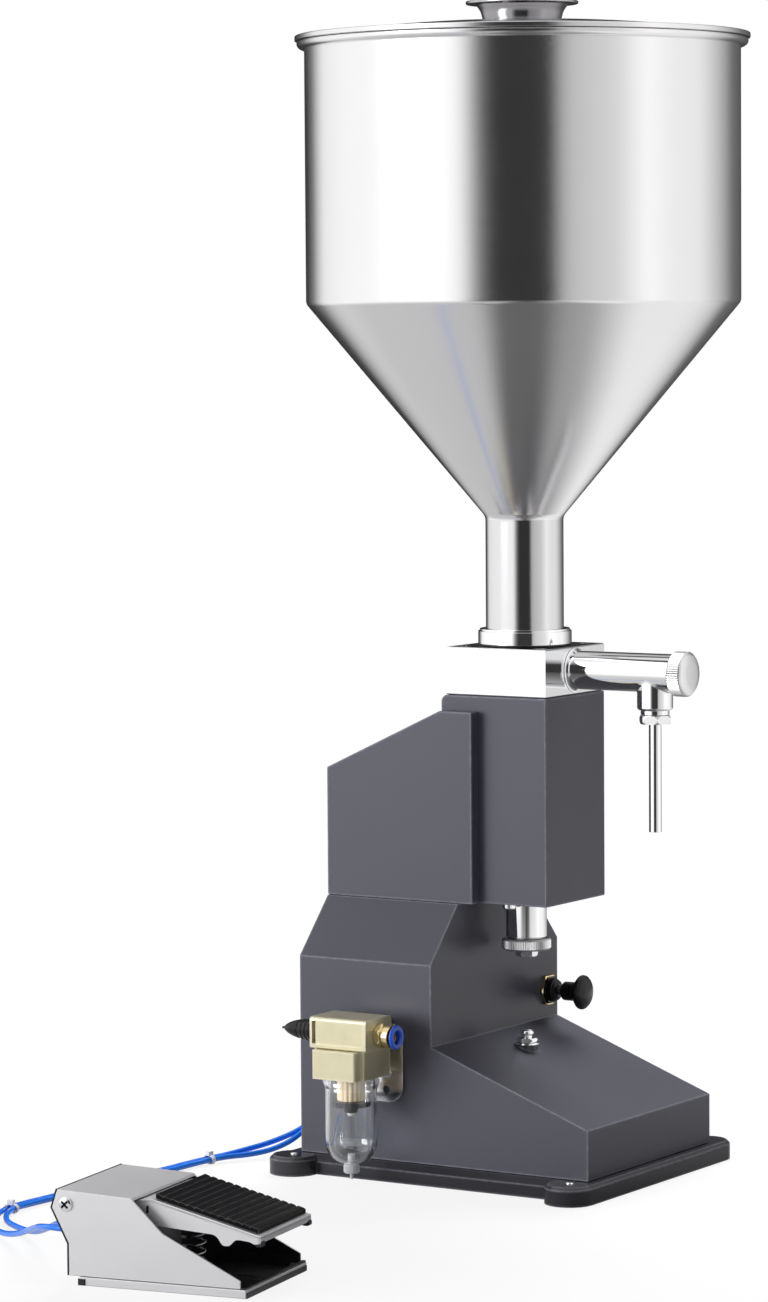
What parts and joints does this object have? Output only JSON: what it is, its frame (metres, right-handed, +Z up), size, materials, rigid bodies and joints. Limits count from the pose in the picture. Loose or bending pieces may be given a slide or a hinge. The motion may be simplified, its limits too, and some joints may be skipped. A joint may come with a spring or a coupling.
{
  "type": "liquid filling machine",
  "caption": "Bench-top pneumatic piston filler: round lidded hopper on a pump block with a discharge arm and nozzle, cylinder box, housing, air filter and foot pedal.",
  "frame": {"origin": "centre of the base plate's underside, on the table; the foot pedal stands on the same table", "axes": "+Z up, +X forwards, the way the discharge arm reaches; the air filter and the pedal are on the -Y side"},
  "size_m": [0.384, 0.6492, 0.8241],
  "materials": {
    "powder_coat": "dark blue-grey satin powder coat",
    "base_coat": "dark grey satin powder coat",
    "satin_steel": "satin stainless steel",
    "polished_steel": "polished stainless steel",
    "plain_steel": "plain bright steel",
    "pedal_sheet": "silver-grey plated sheet",
    "aluminium": "clear anodised",
    "brass": "bright machined",
    "champagne": "pale gold metallic",
    "clear_plastic": "clear polycarbonate",
    "black_plastic": "glossy black",
    "black_rubber": "matt black",
    "blue_plastic": "glossy blue",
    "hose_blue": "smooth blue polyurethane tube",
    "white_plastic": "natural nylon",
    "filter_element": "cream sintered"
  },
  "bodies": {
    "root": {"housing": "powder_coat", "rear_cover": "powder_coat", "front_box": "powder_coat", "base_plate": "base_coat", "hopper": "satin_steel", "pump_barrel": "satin_steel", "nozzle_nut": "satin_steel", "pump_block": "polished_steel", "hopper_collar": "polished_steel", "discharge_arm": "polished_steel", "guide_tube": "polished_steel", "stop_stud": "polished_steel", "nozzle_tube": "polished_steel", "cylinder_bracket": "plain_steel", "discharge_spring": "plain_steel", "stop_nut": "plain_steel", "filter_bracket": "plain_steel", "pedal_pin": "plain_steel", "pedal_tray": "pedal_sheet", "pedal_hood": "pedal_sheet", "air_valve": "aluminium", "air_barrel": "aluminium", "air_cap_top": "aluminium", "air_cap_bottom": "aluminium", "pedal_valve": "aluminium", "valve_nut": "brass", "outlet_fitting": "brass", "rear_fitting_a": "brass", "rear_fitting_b": "brass", "pedal_fitting_a": "brass", "pedal_fitting_b": "brass", "filter_head": "champagne", "filter_bowl": "clear_plastic", "valve_body": "black_plastic", "filter_baffle": "black_plastic", "inlet_plug": "black_plastic", "pedal_spring": "black_plastic", "hose_a": "hose_blue", "hose_b": "hose_blue", "hose_tie_near": "white_plastic", "hose_tie_far": "white_plastic", "filter_element": "filter_element"},
    "lid": {"lid": "satin_steel", "lid_handle": "polished_steel"},
    "piston": {"pump_piston": "plain_steel", "piston_seal": "black_rubber", "piston_rod": "polished_steel", "air_piston": "black_plastic"},
    "stop_ring": {"stop_ring": "satin_steel", "stop_hex": "polished_steel"},
    "end_cap": {"arm_end_cap": "satin_steel"},
    "discharge_poppet": {"discharge_poppet": "plain_steel"},
    "inlet_poppet": {"inlet_poppet": "plain_steel"},
    "hand_valve": {"valve_stem": "plain_steel", "valve_knob": "black_plastic"},
    "filter_drain": {"filter_drain": "clear_plastic"},
    "outlet_collet": {"outlet_collet": "blue_plastic"},
    "treadle": {"treadle": "pedal_sheet", "treadle_pad": "black_rubber"},
    "plunger": {"pedal_plunger": "plain_steel"}
  },
  "joints": [
    {"name": "lid_lift", "type": "slide", "parent": "root", "child": "lid", "axis": [0, 0, 1], "range_m": [0, 0.08]},
    {"name": "piston_stroke", "type": "slide", "parent": "root", "child": "piston", "axis": [0, 0, -1], "range_m": [0, 0.04]},
    {"name": "stop_ring_turn", "type": "hinge", "parent": "piston", "child": "stop_ring", "pos_m": [0.0215, 0, 0.16], "axis": [0, 0, 1], "range_deg": [-180, 180]},
    {"name": "end_cap_turn", "type": "hinge", "parent": "root", "child": "end_cap", "pos_m": [0.15, 0, 0.357], "axis": [1, 0, 0], "range_deg": [0, 360]},
    {"name": "discharge_valve", "type": "slide", "parent": "root", "child": "discharge_poppet", "axis": [0, 0, -1], "range_m": [0, 0.004], "stiffness_N_per_m": 300, "springref_m": -0.002, "deforming": ["discharge_spring"]},
    {"name": "inlet_valve", "type": "slide", "parent": "root", "child": "inlet_poppet", "axis": [0, 0, -1], "range_m": [0, 0.004], "stiffness_N_per_m": 300, "springref_m": -0.002},
    {"name": "hand_valve_pull", "type": "slide", "parent": "root", "child": "hand_valve", "axis": [1, 0, 0], "range_m": [0, 0.008]},
    {"name": "drain_turn", "type": "hinge", "parent": "root", "child": "filter_drain", "pos_m": [-0.0515, -0.118, 0.01], "axis": [0, 0, 1], "range_deg": [0, 90]},
    {"name": "collet_press", "type": "slide", "parent": "root", "child": "outlet_collet", "axis": [-1, 0, 0], "range_m": [0, 0.0015], "stiffness_N_per_m": 1000},
    {"name": "treadle_press", "type": "hinge", "parent": "root", "child": "treadle", "pos_m": [-0.03563, -0.44131, 0.0509], "axis": [-0.1616, 0.9869, 0], "range_deg": [0, 10], "stiffness_Nm_per_rad": 8, "springref_deg": -5.73, "deforming": ["pedal_spring"]},
    {"name": "plunger_press", "type": "slide", "parent": "root", "child": "plunger", "axis": [0, 0, -1], "range_m": [0, 0.0055]}
  ],
  "couplings": [
    {"joint": "plunger_press", "follows": "treadle_press", "m_per_rad": 0.029}
  ]
}
